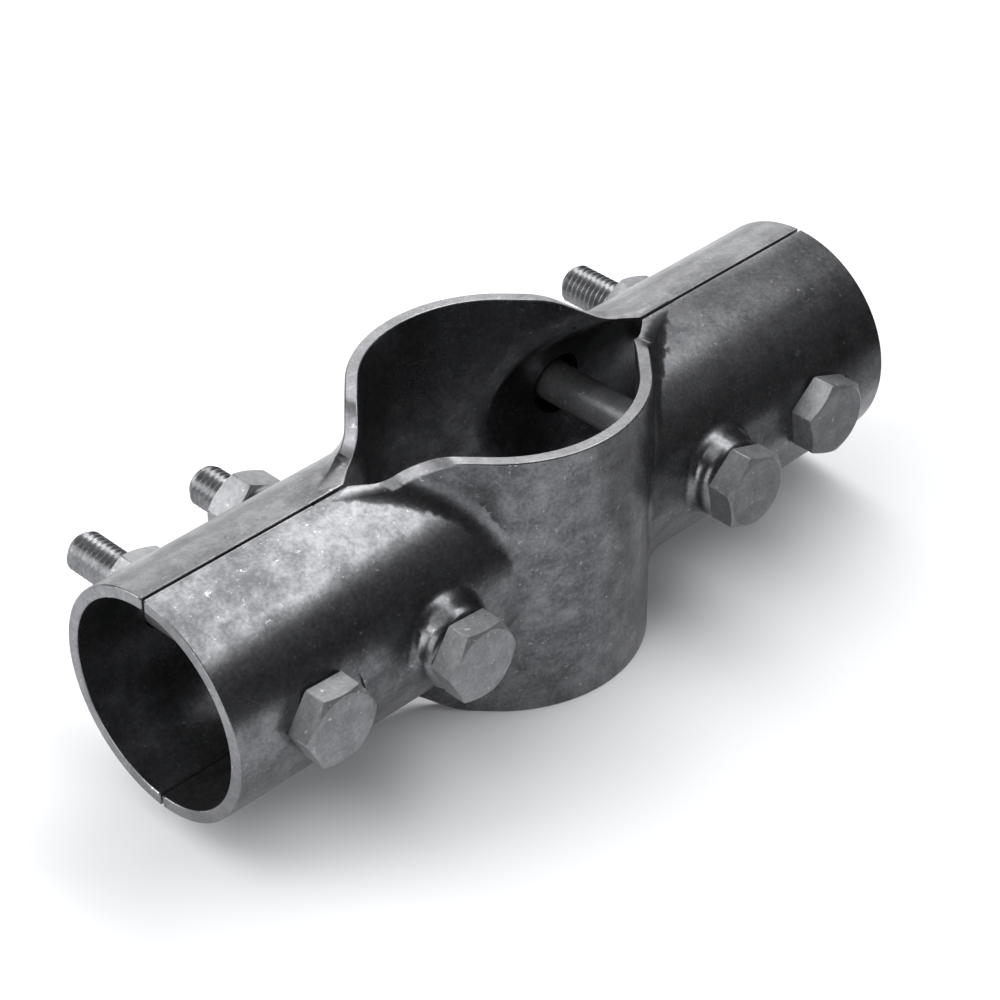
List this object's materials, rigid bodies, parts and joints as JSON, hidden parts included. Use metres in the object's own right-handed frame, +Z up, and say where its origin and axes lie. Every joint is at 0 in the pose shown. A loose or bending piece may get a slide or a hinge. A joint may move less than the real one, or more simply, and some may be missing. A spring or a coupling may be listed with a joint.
{
  "type": "tube clamp double tee fitting",
  "caption": "Pair of pressed steel half shells bolted round a through post and two rail tubes, with a raised collar in the middle and a straight sleeve to each side.",
  "frame": {"origin": "where the post axis and the rail axis cross", "axes": "+Z up along the post, +X along the rails, +Y from the bolt heads to the nuts"},
  "size_m": [0.2, 0.0911, 0.067],
  "materials": {
    "shell": "dull, mottled, as pressed and dipped",
    "bolt": "dull zinc",
    "nut": "dull zinc"
  },
  "bodies": {
    "root": {"front_shell": "shell", "rear_shell": "shell", "bolt_left_outer": "bolt", "bolt_left_inner": "bolt", "bolt_right_inner": "bolt", "bolt_right_outer": "bolt", "nut_left_outer": "nut", "nut_left_inner": "nut", "nut_right_inner": "nut", "nut_right_outer": "nut"}
  },
  "joints": []
}
